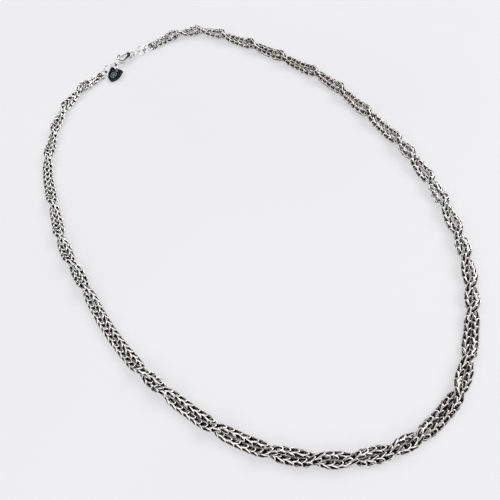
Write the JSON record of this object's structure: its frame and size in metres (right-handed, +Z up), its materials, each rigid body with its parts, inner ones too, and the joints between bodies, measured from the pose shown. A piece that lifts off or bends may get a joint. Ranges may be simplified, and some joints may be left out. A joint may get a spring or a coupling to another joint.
{
  "type": "double chain necklace",
  "caption": "Necklace of two round silver wheat chains twisted together, closed by a lobster clasp with jump rings and a small dark shield tag.",
  "frame": {"origin": "bottom centre of the box around the lying loop, so z = 0 is the surface it lies on", "axes": "+Z up from the surface; +Y from the front of the loop to the clasp side, along its length; +X across the loop, to the right as seen in the picture"},
  "size_m": [0.139, 0.1861, 0.0041],
  "materials": {
    "chain_silver": "polished silver links with darkened recesses",
    "polished_silver": "bright polished silver",
    "blackened_silver": "blackened silver, worn bright on the raised lines"
  },
  "bodies": {
    "necklace": {"strand_a": "chain_silver", "strand_b": "chain_silver", "right_end_ring": "polished_silver", "right_link_ring": "polished_silver", "clasp_ring": "polished_silver", "clasp_body": "polished_silver", "clasp_pin": "polished_silver", "catch_ring": "polished_silver", "tag_link_ring": "polished_silver", "left_link_ring": "polished_silver", "left_end_ring": "polished_silver", "tag_ring": "polished_silver", "tag": "blackened_silver"},
    "lever": {"clasp_lever": "polished_silver"}
  },
  "joints": [
    {"name": "lever_hinge", "type": "hinge", "parent": "necklace", "child": "lever", "pos_m": [-0.03296, 0.08229, 0.00216], "axis": [0.0538, -0.2008, 0.9781], "range_deg": [0, 22], "stiffness_Nm_per_rad": 0.003, "springref_deg": -20.05}
  ]
}
